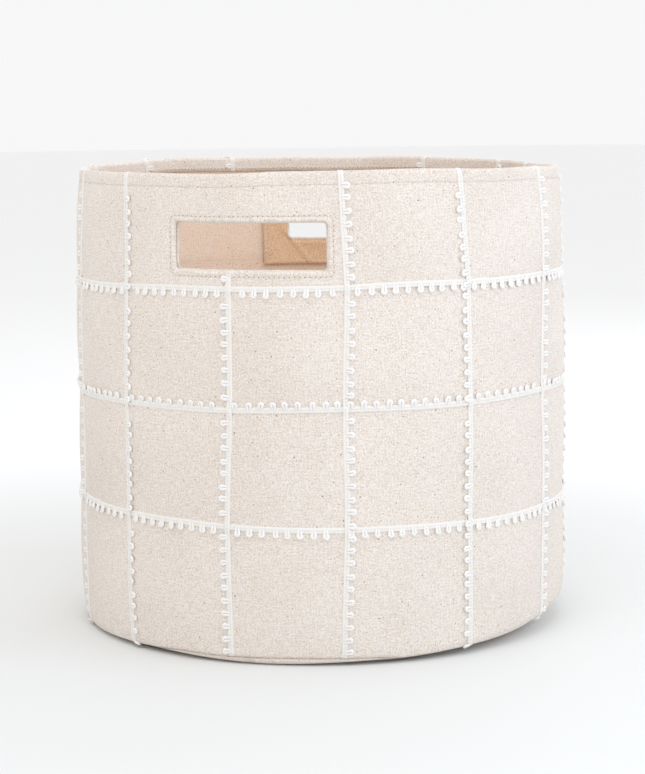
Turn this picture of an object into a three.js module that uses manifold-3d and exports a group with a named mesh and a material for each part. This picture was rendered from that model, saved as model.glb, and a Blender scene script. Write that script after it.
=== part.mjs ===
// Round fabric storage bin: a canvas tube with a sewn-in base, a lining, two cut-out handles and a grid of
// picot trim. Millimetres, +Z up, origin at the centre of the underside, front handle towards -Y.
import * as THREE from "three";
import { mergeVertices } from "three/addons/utils/BufferGeometryUtils.js";
import Module from "manifold-3d";

const wasm = await Module();
wasm.setup();

// Driving dimensions of the bin.
const HEIGHT = 310;
const BELLY_RADIUS = 166; // outside of the canvas where the wall is widest
const BELLY_HEIGHT = 113;
const RIM_DRAW_IN = 3.4; // how much narrower the rim is than the belly
const FOOT_DRAW_IN = 1;
const SIDES = 42; // facets round the bin
const GAP = 0.3; // between pieces that touch
const FACET_DEPTH = BELLY_RADIUS * (1 - Math.cos(Math.PI / SIDES)); // a facet's middle sits this far in

// Cloth and stiffening, from the outside in.
const CANVAS = 1;
const STIFFENER = 1.1;
const LINING = 0.8;
const HEM_DEPTH = 10; // the canvas folds over the rim and comes down this far inside
const HEM_STITCH_DEPTH = 8;

// Base.
const FOOT_CURVE = 6; // radius of the base cloth where it turns up to the wall
const SEAM_HEIGHT = 5.5;
const BOARD = 2;

// Cut-out handles. Azimuths run anticlockwise from the front, in degrees.
const WINDOW = { width: 97, height: 30, bottom: 249.7, corner: 3 };
const FACING_BORDER = 20;
const FACING = 0.9;
const WINDOW_STITCH_OFFSET = 3.5;
const EDGE_STITCH_INSET = 2;
const HANDLES = [
  { side: "front", azimuth: 0 },
  { side: "back", azimuth: 187.2 },
];

// Picot trim: a narrow tape with loops along one edge.
const TRIM_WIDTH = 7.4;
const TRIM_THICKNESS = 1.8;
const TRIM_PITCH = 26.8; // degrees between upright trims
const TRIM_COUNT = 14;
const FIRST_TRIM = -219.6; // azimuth of the trim beside the wall's one upright seam
const TRIM_ROWS = { upper: 237.5, middle: 162.5, lower: 89 };

const THREAD = { width: 0.4, depth: 0.35 };

const rad = THREE.MathUtils.degToRad;

// Outside radius of the canvas at height z: a slight barrel, drawn in at the rim and at the foot.
function wallRadius(z) {
  const above = Math.max(0, z - BELLY_HEIGHT) / (HEIGHT - BELLY_HEIGHT);
  const below = Math.max(0, BELLY_HEIGHT - z) / BELLY_HEIGHT;
  return BELLY_RADIUS - RIM_DRAW_IN * above ** 2 - FOOT_DRAW_IN * below ** 2;
}

// Heights from low to high, enough of them to follow the barrel.
function heights(low, high, count = 4) {
  return Array.from({ length: count }, (_, i) => low + ((high - low) * i) / (count - 1));
}

// [radius, height] points along the wall, moved in or out from the canvas's outside.
function wallLine(low, high, offset, count) {
  return heights(low, high, count).map((z) => [wallRadius(z) + offset, z]);
}

// Closed solid of revolution; the profile runs anticlockwise in the radius and height plane.
function revolve(profile) {
  const points = profile.map(([r, z]) => new THREE.Vector2(r, z));
  const onAxis = profile[0][0] === 0 && profile.at(-1)[0] === 0;
  if (!onAxis) points.push(points[0].clone());
  return new THREE.LatheGeometry(points, SIDES).rotateX(Math.PI / 2);
}

// A band of the wall between two offsets from the canvas's outside.
function wallBand(low, high, inner, outer, count) {
  return revolve([...wallLine(low, high, outer, count), ...wallLine(low, high, inner, count).reverse()]);
}

function solid(geometry) {
  const bare = geometry.index ? geometry.toNonIndexed() : geometry.clone();
  bare.deleteAttribute("normal");
  bare.deleteAttribute("uv");
  const merged = mergeVertices(bare, 1e-3);
  return new wasm.Manifold(
    new wasm.Mesh({
      numProp: 3,
      vertProperties: merged.attributes.position.array,
      triVerts: new Uint32Array(merged.index.array),
    }),
  );
}

function geometryOf(manifold) {
  const { vertProperties, triVerts } = manifold.getMesh();
  const geometry = new THREE.BufferGeometry();
  geometry.setAttribute("position", new THREE.BufferAttribute(vertProperties, 3));
  geometry.setIndex(new THREE.BufferAttribute(triVerts, 1));
  return geometry;
}

// Rectangle with rounded corners, low edge at bottom, centred on x = 0.
function roundedRectangle(width, height, bottom, corner) {
  const [x, top] = [width / 2, bottom + height];
  const shape = new THREE.Shape();
  shape.moveTo(-x + corner, bottom);
  shape.lineTo(x - corner, bottom);
  shape.absarc(x - corner, bottom + corner, corner, -Math.PI / 2, 0, false);
  shape.lineTo(x, top - corner);
  shape.absarc(x - corner, top - corner, corner, 0, Math.PI / 2, false);
  shape.lineTo(-x + corner, top);
  shape.absarc(-x + corner, top - corner, corner, Math.PI / 2, Math.PI, false);
  shape.lineTo(-x, bottom + corner);
  shape.absarc(-x + corner, bottom + corner, corner, Math.PI, 1.5 * Math.PI, false);
  return shape;
}

// A shape drawn across and up, made into a prism from the bin's axis out through the wall at an azimuth.
function throughWall(shape, azimuth) {
  const reach = BELLY_RADIUS + 20;
  const prism = new THREE.ExtrudeGeometry(shape, { depth: reach, bevelEnabled: false, curveSegments: 3 });
  return solid(prism.rotateX(Math.PI / 2).rotateZ(rad(azimuth)));
}

function windowPrism(handle, grow) {
  const { width, height, bottom, corner } = WINDOW;
  const shape = roundedRectangle(width + 2 * grow, height + 2 * grow, bottom - grow, corner + grow);
  return throughWall(shape, handle.azimuth);
}

const everyWindow = (grow) => wasm.Manifold.union(HANDLES.map((handle) => windowPrism(handle, grow)));
const windowHoles = everyWindow(FACING + GAP);

// The loop of thread round a window, or with clearance the groove that it sinks into.
function windowThread(handle, clearance) {
  const half = THREAD.width / 2 + clearance;
  const loop = windowPrism(handle, WINDOW_STITCH_OFFSET + half).subtract(
    windowPrism(handle, WINDOW_STITCH_OFFSET - half),
  );
  const outer = clearance ? 1 : 0;
  return solid(wallBand(WINDOW.bottom - 20, HEIGHT - 5, -THREAD.depth - clearance, outer)).intersect(loop);
}

// Ring of hem thread sunk into a face of the hem, or with clearance its groove. face is an offset, and
// sign is 1 where the face looks outwards.
function hemThread(face, sign, clearance) {
  const z = HEIGHT - HEM_STITCH_DEPTH;
  const half = THREAD.width / 2 + clearance;
  const ends = [face - sign * (THREAD.depth + clearance), face + sign * (clearance ? 1 : 0)];
  ends.sort((a, b) => a - b);
  return solid(wallBand(z - half, z + half, ends[0], ends[1], 2));
}

const WALL_LOW = SEAM_HEIGHT + GAP;
const STACK_TOP = HEIGHT - CANVAS - GAP; // where the stiffener and lining end, under the hem's fold
const LINING_OUT = -CANVAS - GAP - STIFFENER - GAP;
const LINING_IN = LINING_OUT - LINING;
const HEM_OUT = LINING_IN - GAP;
const HEM_IN = HEM_OUT - CANVAS;
const HEM_LOW = HEIGHT - HEM_DEPTH;

// Canvas wall with its hem folded over the rim, grooves for the stitching, and both windows.
function outerWall() {
  const rim = wallRadius(HEIGHT);
  const profile = [
    ...wallLine(WALL_LOW, HEIGHT - 1, 0),
    [rim - 0.6, HEIGHT],
    [rim + HEM_IN + 0.6, HEIGHT],
    [rim + HEM_IN, HEIGHT - 1],
    [wallRadius(HEM_LOW) + HEM_IN, HEM_LOW],
    [wallRadius(HEM_LOW) + HEM_OUT, HEM_LOW],
    [rim + HEM_OUT, HEIGHT - CANVAS],
    ...wallLine(WALL_LOW, HEIGHT - CANVAS, -CANVAS).reverse(),
  ];
  const grooves = HANDLES.map((handle) => windowThread(handle, GAP));
  return solid(revolve(profile))
    .subtract(windowHoles)
    .subtract(wasm.Manifold.union([...grooves, hemThread(0, 1, GAP), hemThread(HEM_IN, -1, GAP)]));
}

function wallStiffener() {
  return solid(wallBand(WALL_LOW, STACK_TOP, -CANVAS - GAP - STIFFENER, -CANVAS - GAP)).subtract(windowHoles);
}

const FLOOR_TOP = CANVAS + GAP + BOARD + GAP + LINING;

function wallLining() {
  return solid(wallBand(FLOOR_TOP + GAP, STACK_TOP, LINING_IN, LINING_OUT)).subtract(windowHoles);
}

// Points on a quarter circle that turns up from the flat underside to the wall.
function footCurve(centre, radius, steps = 4) {
  return Array.from({ length: steps + 1 }, (_, i) => {
    const angle = rad(-90 + (90 * i) / steps);
    return [centre + radius * Math.cos(angle), FOOT_CURVE + radius * Math.sin(angle)];
  });
}

// Base cloth: a disc that turns up to meet the wall at the seam.
function baseCover() {
  const outside = wallRadius(SEAM_HEIGHT);
  const centre = outside - FOOT_CURVE;
  const inside = FOOT_CURVE - CANVAS;
  return solid(
    revolve([
      [0, 0],
      ...footCurve(centre, FOOT_CURVE).slice(0, -1),
      [outside, SEAM_HEIGHT],
      [outside - CANVAS, SEAM_HEIGHT],
      ...footCurve(centre, inside).slice(0, -1).reverse(),
      [0, CANVAS],
    ]),
  );
}

const BOARD_RADIUS = wallRadius(0) + LINING_IN - FOOT_CURVE;
const BASE_LINING_RADIUS = wallRadius(0) + LINING_OUT - GAP;

function disc(radius, low, thickness) {
  const high = low + thickness;
  return solid(
    revolve([
      [0, low],
      [radius, low],
      [radius, high],
      [0, high],
    ]),
  );
}

// A handle's facing: a patch inside the lining and a collar that lines the window out to the canvas.
function handleFacing(handle) {
  const border = roundedRectangle(
    WINDOW.width + 2 * FACING_BORDER,
    HEM_LOW - GAP - WINDOW.bottom + FACING_BORDER,
    WINDOW.bottom - FACING_BORDER,
    0.5,
  );
  const low = WINDOW.bottom - FACING_BORDER - 1;
  const patchBand = solid(wallBand(low, HEM_LOW, LINING_IN - GAP - FACING, LINING_IN - GAP));
  const collarBand = solid(wallBand(low, HEM_LOW, LINING_IN - GAP - FACING, GAP));
  return patchBand
    .intersect(throughWall(border, handle.azimuth))
    .add(collarBand.intersect(windowPrism(handle, FACING)))
    .subtract(windowPrism(handle, 0))
    .subtract(facingThread(handle, GAP));
}

// Thread along the two sides and the low edge of a facing, or with clearance its groove.
function facingThread(handle, clearance) {
  const half = THREAD.width / 2 + clearance;
  const line = (inset) => {
    const x = WINDOW.width / 2 + FACING_BORDER - EDGE_STITCH_INSET - inset;
    const low = WINDOW.bottom - FACING_BORDER + EDGE_STITCH_INSET + inset;
    const high = HEM_LOW - EDGE_STITCH_INSET + clearance;
    return roundedRectangle(2 * x, high - low + Math.max(0, inset), low, 0.3);
  };
  const ring = throughWall(line(-half), handle.azimuth).subtract(throughWall(line(half), handle.azimuth));
  const face = LINING_IN - GAP - FACING;
  const inner = face - (clearance ? 1 : 0);
  return solid(wallBand(WINDOW.bottom - 30, HEM_LOW, inner, face + THREAD.depth + clearance)).intersect(ring);
}

// An upright trim's cut through its thickness: up the outside, over the rim and down the inside of the hem.
function uprightProfile(top, near, far) {
  const outside = (offset) => wallLine(WALL_LOW + 0.5, Math.min(top, HEIGHT), offset, 4);
  if (top < HEIGHT) return [...outside(far), ...outside(near).reverse()];
  const inside = (offset) => wallRadius(HEIGHT) + HEM_IN - FACET_DEPTH - offset;
  return [
    ...outside(far),
    [wallRadius(HEIGHT) + far - 1.2, HEIGHT + far],
    [inside(far) + 1.2, HEIGHT + far],
    [inside(far), HEIGHT],
    [inside(far), HEM_LOW],
    [inside(near), HEM_LOW],
    [inside(near), HEIGHT + near],
    [wallRadius(HEIGHT) + near, HEIGHT + near],
    ...outside(near).reverse().slice(1),
  ];
}

// A profile in the radius and height plane, given a width across the wall at an azimuth.
function acrossWall(profile, width, azimuth) {
  const shape = new THREE.Shape(profile.map(([r, z]) => new THREE.Vector2(r, z)));
  const strip = new THREE.ExtrudeGeometry(shape, { depth: width, bevelEnabled: false });
  return solid(strip.translate(0, 0, -width / 2).rotateX(Math.PI / 2).rotateZ(rad(azimuth - 90)));
}

function block(inner, outer, low, high, width, azimuth) {
  const corners = [
    [inner, low],
    [outer, low],
    [outer, high],
    [inner, high],
  ];
  return acrossWall(corners, width, azimuth);
}

const trimAzimuths = Array.from({ length: TRIM_COUNT }, (_, i) => FIRST_TRIM + TRIM_PITCH * i);
const trimMiddle = GAP + TRIM_THICKNESS / 2;

// The smallest turn from one azimuth to another, in degrees.
const turnBetween = (a, b) => Math.abs(((a - b + 540) % 360) - 180);

// An upright trim stops below a window that stands in its way.
function trimTop(azimuth) {
  const windowTurn = THREE.MathUtils.radToDeg(Math.asin(WINDOW.width / 2 / BELLY_RADIUS));
  const blocked = HANDLES.some((handle) => turnBetween(azimuth + 360, handle.azimuth) < windowTurn);
  return blocked ? WINDOW.bottom - WINDOW_STITCH_OFFSET - 1 : HEIGHT;
}

// The outer half of an upright trim stays where it crosses a row, so that it lies on top.
function uprightTrim(azimuth) {
  const profile = uprightProfile(trimTop(azimuth), GAP, GAP + TRIM_THICKNESS);
  const crossings = Object.values(TRIM_ROWS).map((z) => {
    const half = TRIM_WIDTH / 2 + GAP;
    const radius = wallRadius(z) + trimMiddle + GAP / 2;
    return block(radius - TRIM_THICKNESS, radius, z - half, z + half, 2 * TRIM_WIDTH, azimuth);
  });
  return acrossWall(profile, TRIM_WIDTH, azimuth).subtract(wasm.Manifold.union(crossings));
}

function rowTrim(z) {
  const [low, high] = [z - TRIM_WIDTH / 2, z + TRIM_WIDTH / 2];
  const ring = solid(wallBand(low, high, GAP, GAP + TRIM_THICKNESS, 2));
  const crossings = trimAzimuths.map((azimuth) => {
    const radius = wallRadius(z) + trimMiddle - GAP / 2;
    return block(radius, radius + 2 * TRIM_THICKNESS, low - 1, high + 1, TRIM_WIDTH + 2 * GAP, azimuth);
  });
  return ring.subtract(wasm.Manifold.union(crossings));
}

const cloth = (color) => new THREE.MeshStandardMaterial({ color, roughness: 0.95, metalness: 0 });
const materials = {
  canvas: cloth(0xe9dfd0),
  lining: cloth(0xe3cbb2),
  facing: cloth(0xdcc2a4),
  trim: cloth(0xf6f3ee),
  thread: cloth(0xf1e9dc),
  stiffener: new THREE.MeshStandardMaterial({ color: 0xf2f0ec, roughness: 0.9, metalness: 0 }),
  board: new THREE.MeshStandardMaterial({ color: 0xb79b78, roughness: 0.85, metalness: 0 }),
};

const bin = new THREE.Group();
bin.name = "fabric_storage_bin";

function add(name, manifold, material) {
  const mesh = new THREE.Mesh(geometryOf(manifold), material);
  mesh.name = name;
  bin.add(mesh);
}

add("outer_wall", outerWall(), materials.canvas);
add("wall_stiffener", wallStiffener(), materials.stiffener);
add("wall_lining", wallLining(), materials.lining);
add("base_cover", baseCover(), materials.canvas);
add("base_board", disc(BOARD_RADIUS, CANVAS + GAP, BOARD), materials.board);
add("base_lining", disc(BASE_LINING_RADIUS, FLOOR_TOP - LINING, LINING), materials.lining);
add("hem_topstitch_outside", hemThread(0, 1, 0), materials.thread);
add("hem_topstitch_inside", hemThread(HEM_IN, -1, 0), materials.thread);
for (const handle of HANDLES) {
  add(`${handle.side}_handle_facing`, handleFacing(handle), materials.facing);
  add(`${handle.side}_window_topstitch`, windowThread(handle, 0), materials.thread);
  add(`${handle.side}_facing_edge_stitch`, facingThread(handle, 0), materials.thread);
}
trimAzimuths.forEach((azimuth, i) => {
  add(`upright_trim_${String(i + 1).padStart(2, "0")}`, uprightTrim(azimuth), materials.trim);
});
for (const [row, z] of Object.entries(TRIM_ROWS)) add(`row_trim_${row}`, rowTrim(z), materials.trim);

export default bin;
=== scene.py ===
"""Looks of the round canvas storage bin: sewn cloth layers, picot trim, stitches, floor, light and camera."""
import math
import random

import bmesh
import bpy
import numpy as np
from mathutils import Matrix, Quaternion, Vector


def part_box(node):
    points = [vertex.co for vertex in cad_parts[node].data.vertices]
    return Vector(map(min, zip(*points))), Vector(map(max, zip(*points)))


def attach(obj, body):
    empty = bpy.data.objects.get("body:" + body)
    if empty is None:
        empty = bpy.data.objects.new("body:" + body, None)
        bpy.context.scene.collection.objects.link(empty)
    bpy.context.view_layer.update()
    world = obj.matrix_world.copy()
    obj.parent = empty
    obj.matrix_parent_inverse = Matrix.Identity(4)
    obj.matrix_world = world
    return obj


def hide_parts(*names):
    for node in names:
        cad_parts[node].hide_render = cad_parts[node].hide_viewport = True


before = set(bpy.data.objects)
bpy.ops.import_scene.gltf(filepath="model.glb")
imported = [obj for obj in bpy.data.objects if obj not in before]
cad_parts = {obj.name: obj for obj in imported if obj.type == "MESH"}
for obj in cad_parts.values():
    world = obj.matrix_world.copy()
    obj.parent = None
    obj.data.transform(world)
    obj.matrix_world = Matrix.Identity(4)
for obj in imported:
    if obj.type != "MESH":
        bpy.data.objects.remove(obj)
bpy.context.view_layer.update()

MM = 0.001

# ----------------------------------------
# Sizes, all in metres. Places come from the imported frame, and cloth details are given here.


def half_width(node):
    """Half of a CAD node's width: the radius of a ring."""
    low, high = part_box(node)
    return (high.x - low.x) / 2


def azimuth_of(node):
    """Angle of a CAD node round the bin, from the front, anticlockwise seen from above."""
    low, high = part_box(node)
    centre = (low + high) / 2
    return math.atan2(centre.x, -centre.y)


def middle_height(node):
    """Height of the middle of a CAD node."""
    low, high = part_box(node)
    return (low.z + high.z) / 2


def half_height(node):
    """Half of a CAD node's height."""
    low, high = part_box(node)
    return (high.z - low.z) / 2


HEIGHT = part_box("outer_wall")[1].z
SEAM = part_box("base_cover")[1].z
HEM_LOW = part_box("front_handle_facing")[1].z
HEM_STITCH = middle_height("hem_topstitch_outside")
FLOOR_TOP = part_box("base_lining")[1].z
BELLY_RADIUS = half_width("outer_wall")
RIM_RADIUS = half_width("hem_topstitch_outside")
FOOT_RADIUS = half_width("base_cover")
BELLY_HEIGHT = 113 * MM
FOOT_CURVE = 6 * MM
ROUND = 2 * math.pi * BELLY_RADIUS

CANVAS = 1.0 * MM
STIFFENER = 1.1 * MM
LINING = 0.8 * MM
FACING = 1.1 * MM
GAP = 0.3 * MM
STIFFENER_OUT = -CANVAS - GAP
LINING_OUT = STIFFENER_OUT - STIFFENER - GAP
RIM_THICKNESS = 4.8 * MM
FACING_IN = LINING_OUT - LINING - GAP - FACING

STITCH_OFFSET = 3.7 * MM
STITCH_CORNER = 3.5 * MM
stitch_low, stitch_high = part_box("front_window_topstitch")
WINDOW_HALF = BELLY_RADIUS * math.asin((stitch_high.x - stitch_low.x) / 2 / RIM_RADIUS) - STITCH_OFFSET
WINDOW_LOW = stitch_low.z + STITCH_OFFSET
WINDOW_HIGH = stitch_high.z - STITCH_OFFSET
WINDOW_CORNER = 3 * MM
FACING_BORDER = WINDOW_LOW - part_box("front_handle_facing")[0].z
WINDOWS = {side: azimuth_of(f"{side}_window_topstitch") for side in ("front", "back")}

# Each trim's tape lies beside its loops: 1 where they point up or anticlockwise, -1 where down or clockwise.
TAPE_HALF = 1.85 * MM
ROW_LOOPS = {"upper": -1, "middle": 1, "lower": -1}
UPRIGHT_LOOPS = {f"upright_trim_{i:02d}": 1 if i % 2 == 0 else -1 for i in range(1, 15)}
TAPE_ASIDE = half_height("row_trim_middle") - TAPE_HALF
ROWS = {row: middle_height(f"row_trim_{row}") for row in ROW_LOOPS}
UPRIGHTS = {
    node: azimuth_of(node) - loops * TAPE_ASIDE / BELLY_RADIUS for node, loops in UPRIGHT_LOOPS.items()
}
# How the trims stray from even places, as a hand sews them: rows tilt by so much up at the front and at the
# right, and some uprights stand so far anticlockwise at their top, at the upper row and at their bottom.
ROW_TILT = {"upper": (1.0 * MM, 1.9 * MM), "middle": (0.5 * MM, 1.0 * MM), "lower": (-0.6 * MM, -2.9 * MM)}
STRAY_MM = {
    8: (-1.2, -1.0, -2.4),
    9: (1.6, 0.8, -3.0),
    10: (-1.0, 1.2, -1.5),
    11: (-3.4, 3.6, 2.9),
    12: (6.0, 7.0, 5.0),
    13: (9.5, 9.5, 9.5),
}
UPRIGHT_STRAY = {f"upright_trim_{i:02d}": [d * MM for d in stray] for i, stray in STRAY_MM.items()}
WALL_SEAM = (UPRIGHTS["upright_trim_01"] + UPRIGHTS["upright_trim_14"]) / 2

# ----------------------------------------
# The bin's surface. Every layer, trim and stitch is placed with it, so they all sag and puff together.


def turn(angle):
    """An angle brought between minus and plus half a turn."""
    return (np.asarray(angle) + math.pi) % (2 * math.pi) - math.pi


def bump(distance, width):
    """A soft hill that is 1 at distance 0 and gone by about twice the width."""
    return np.exp(-((distance / width) ** 2))


def wall_radius(z):
    """The outside of the canvas before it sags: a slight barrel."""
    above = np.clip((z - BELLY_HEIGHT) / (HEIGHT - BELLY_HEIGHT), 0, 1)
    below = np.clip((BELLY_HEIGHT - z) / BELLY_HEIGHT, 0, 1)
    return BELLY_RADIUS - (BELLY_RADIUS - RIM_RADIUS) * above**2 - (BELLY_RADIUS - FOOT_RADIUS) * below**2


def panel_share(value, stops):
    """How far value is across the panel between two stops, from 0 to 1."""
    stops = np.sort(np.asarray(stops))
    index = np.clip(np.searchsorted(stops, value, side="right") - 1, 0, len(stops) - 2)
    return np.clip((value - stops[index]) / (stops[index + 1] - stops[index]), 0, 1)


def pillow(azimuth, z):
    """Cloth puffs out a little between the lines where the trims are sewn."""
    lines = np.sort(turn(list(UPRIGHTS.values())))
    lines = np.concatenate([[lines[-1] - 2 * math.pi], lines, [lines[0] + 2 * math.pi]])
    across = np.sin(math.pi * panel_share(turn(azimuth), lines))
    up = np.sin(math.pi * panel_share(z, [SEAM, *ROWS.values(), HEM_STITCH]))
    return PUFF * (across * up) ** 0.7


SLACK_CORNER = math.radians(105)
FULL_LEFT = math.radians(-70)
SEAM_SHOWS = math.radians(3)
BACK = math.radians(180)
SEAM_SHOWN_HALF = 0.42  # the base seam shows this far, in radians, to either side
SEAM_ROLLS_OVER = 0.16  # and rolls under the bin over this much more
PUFF = 1.5 * MM


def tucked_under(azimuth):
    """0 at the front, where the base seam shows, and 1 where it has rolled under the bin."""
    away = np.abs(turn(azimuth - SEAM_SHOWS)) + 0.05 * np.sin(13 * azimuth)
    share = np.clip((away - SEAM_SHOWN_HALF) / SEAM_ROLLS_OVER, 0, 1)
    return share**2 * (3 - 2 * share)


def tuck(azimuth, z):
    """How far, in mm, the cloth by the base seam turns in under the bin: most at its slack right corner."""
    slack = bump(turn(azimuth - SLACK_CORNER), 0.5)
    top = SEAM + MM * (1.5 + 16 * slack)
    share = np.clip((top - z) / (top - SEAM), 0, 1)
    return (4 + 9 * slack) * tucked_under(azimuth) * share**1.5


def dents(azimuth, z):
    """Broad unevenness of a hand-sewn bin, and the slack cloth above the base."""
    height = np.clip(z / HEIGHT, 0, 1)
    broad = 0.8 * np.cos(2 * azimuth - 0.9) + 0.5 * np.cos(3 * azimuth + 1.2)
    drift = 0.5 * np.sin(5 * azimuth + 9 * height) + 0.35 * np.sin(8 * azimuth - 13 * height + 1)
    slack = bump(z, 24 * MM)
    low = -0.4 * (1 + np.sin(7 * azimuth + 0.4))
    full = 2.2 * np.clip(z / (15 * MM), 0, 1) * bump(turn(azimuth - FULL_LEFT), 0.6)
    return MM * ((0.35 + 0.65 * height) * (broad + drift) + slack * low + full - tuck(azimuth, z))


def seams(azimuth, z):
    """Narrow grooves: the wall's one upright seam, the seam round the base and the hem's stitch line."""
    upright = 0.9 * bump(turn(azimuth - WALL_SEAM) * BELLY_RADIUS, 0.9 * MM)
    base = 1.8 * bump(z - SEAM, 0.8 * MM)
    hem = 0.15 * bump(z - HEM_STITCH, 1.6 * MM)
    return -MM * (upright + base + hem)


GROOVE_DEPTH = 0.35 * MM
GROOVE_WIDTH = 1.2 * MM
EDGE_FULLNESS = 0.3 * MM
EDGE_FULL_AT = 1.9 * MM


def window_groove(azimuth, z):
    """The stitch line round a window pulls the cloth in, and the turned edge inside it stands full."""
    total = 0
    for centre in WINDOWS.values():
        across = np.abs(turn(azimuth - centre)) * BELLY_RADIUS - WINDOW_HALF
        up = np.abs(z - (WINDOW_LOW + WINDOW_HIGH) / 2) - (WINDOW_HIGH - WINDOW_LOW) / 2
        distance = np.where(np.maximum(across, up) > 0, np.hypot(np.maximum(across, 0), np.maximum(up, 0)), 0)
        total = total - GROOVE_DEPTH * bump(distance - STITCH_OFFSET, GROOVE_WIDTH)
        total = total + EDGE_FULLNESS * bump(distance - EDGE_FULL_AT, GROOVE_WIDTH)
    return total


def rise(azimuth, z):
    """How far the cloth is shifted up: the rim waves, the windows hang a little askew, and the base seam
    rolls under at the sides."""
    rim = 0.9 * np.sin(2 * azimuth + 0.3) + 0.5 * np.sin(5 * azimuth - 0.6) + 0.25 * np.sin(11 * azimuth)
    rim = rim - 2.4 * bump(turn(azimuth - SLACK_CORNER), 0.5) - 0.6 * bump(turn(azimuth - BACK), 0.7)
    roll = 0.35 * np.sin(9 * azimuth) - 0.8 + 7 * bump(turn(azimuth - SLACK_CORNER), 0.7)
    roll = roll - 2.8 * tucked_under(azimuth) * (1 - 0.85 * bump(turn(azimuth - SLACK_CORNER), 1.1))
    near_seam = np.where(z < SEAM, np.clip(z / SEAM, 0, 1), bump(z - SEAM, 9 * MM))
    by_window = bump(z - (WINDOW_LOW + WINDOW_HIGH) / 2, 28 * MM)
    across = turn(azimuth - WINDOWS["front"]) * BELLY_RADIUS / WINDOW_HALF
    askew = -0.9 * np.clip(across, -1.2, 1.2) * bump(np.maximum(np.abs(across) - 1, 0), 0.4)
    askew = askew - 1.5 * bump(turn(azimuth - BACK), 0.6)
    return MM * (rim * np.clip(z / HEIGHT, 0, 1) ** 4 + roll * near_seam + askew * by_window)


def polar(azimuth, radius, height):
    """Points at an azimuth, so far from the bin's middle and so high."""
    return np.stack([radius * np.sin(azimuth), -radius * np.cos(azimuth), height + 0 * radius], axis=-1)


def place(azimuth, z, out):
    """Points at azimuth and height z, so far out from the canvas's outside (negative is inside)."""
    radius = wall_radius(z) + pillow(azimuth, z) + dents(azimuth, z) + out
    radius = radius + seams(azimuth, z) + window_groove(azimuth, z)
    return polar(azimuth, radius, z + rise(azimuth, z))


# The canvas runs up the outside, over the rim and down inside to the hem's edge. along is the distance
# from the base seam on that path.
RIM_CURVE = RIM_THICKNESS / 2
TO_RIM = HEIGHT - RIM_CURVE - SEAM
OVER_RIM = TO_RIM + math.pi * RIM_CURVE
HEM_END = OVER_RIM + HEIGHT - RIM_CURVE - HEM_LOW


def on_canvas(azimuth, along, lift=0.0):
    """Points on the canvas's face, or lifted off it."""
    angle = np.clip((along - TO_RIM) / RIM_CURVE, 0, math.pi)
    down = np.maximum(along - OVER_RIM, 0)
    z = SEAM + np.minimum(along, TO_RIM) + (RIM_CURVE + lift) * np.sin(angle) - down
    return place(azimuth, z, RIM_CURVE * (np.cos(angle) - 1) + lift * np.cos(angle))


# ----------------------------------------
# Mesh helpers


def stops(points, step):
    """Sorted values through all the points, no further apart than step."""
    points = sorted(points)
    points = [a for a, b in zip(points, [*points[1:], math.inf]) if b - a > 1e-6]
    values = []
    for a, b in zip(points, points[1:]):
        count = max(1, math.ceil((b - a) / step - 1e-6))
        values += [a + (b - a) * i / count for i in range(count)]
    return np.array([*values, points[-1]])


def new_object(name, data):
    """An object put in the scene."""
    thing = bpy.data.objects.new(name, data)
    bpy.context.scene.collection.objects.link(thing)
    return thing


def stand_for(node):
    """A piece takes the place of a CAD node: the node is hidden."""
    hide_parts(node)


def run_lengths(points):
    """How far along a line each of its points is."""
    return np.concatenate([[0], np.cumsum(np.linalg.norm(np.diff(points, axis=0), axis=1))])


def make_piece(name, vertices, faces, uvs, material, weld=False, edging=None, edging_from=0):
    """A smooth mesh object that rides on the bin's one body. uvs are per vertex, in metres on the cloth.

    Faces from number edging_from on have the edging material, if there is one."""
    mesh = bpy.data.meshes.new(name)
    mesh.from_pydata(np.asarray(vertices, float).tolist(), [], faces)
    corners = np.empty(len(mesh.loops), np.int32)
    mesh.loops.foreach_get("vertex_index", corners)
    layer = mesh.uv_layers.new(name="cloth")
    layer.data.foreach_set("uv", np.asarray(uvs, float)[corners].ravel())
    shape = bmesh.new()
    shape.from_mesh(mesh)
    if weld:
        bmesh.ops.remove_doubles(shape, verts=shape.verts, dist=1e-6)
    bmesh.ops.recalc_face_normals(shape, faces=shape.faces)
    shape.to_mesh(mesh)
    shape.free()
    mesh.polygons.foreach_set("use_smooth", [True] * len(mesh.polygons))
    mesh.materials.append(material)
    if edging:
        mesh.materials.append(edging)
        slots = (np.arange(len(mesh.polygons)) >= edging_from).astype(np.int32)
        mesh.polygons.foreach_set("material_index", slots)
    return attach(new_object(name, mesh), "root")


CORNER_STEPS = (0, 0.3, 0.65, 1)
NEAR_HOLE = [d * MM for d in (0.7, 1.4, 2.2, 3.1, 4.3)]


def hole_stops(holes):
    """Grid lines that a hole's edge, its corners and the cloth just outside it need: (across, up)."""
    across, up = [], []
    for azimuth, low, high, half, corner in holes:
        centre = azimuth * BELLY_RADIUS
        near = [corner * s for s in CORNER_STEPS] + [-d for d in NEAR_HOLE]
        across += [centre + sign * (half - d) for d in near for sign in (-1, 1)]
        up += [low + d for d in near] + [high - d for d in near]
    return across, up


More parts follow.
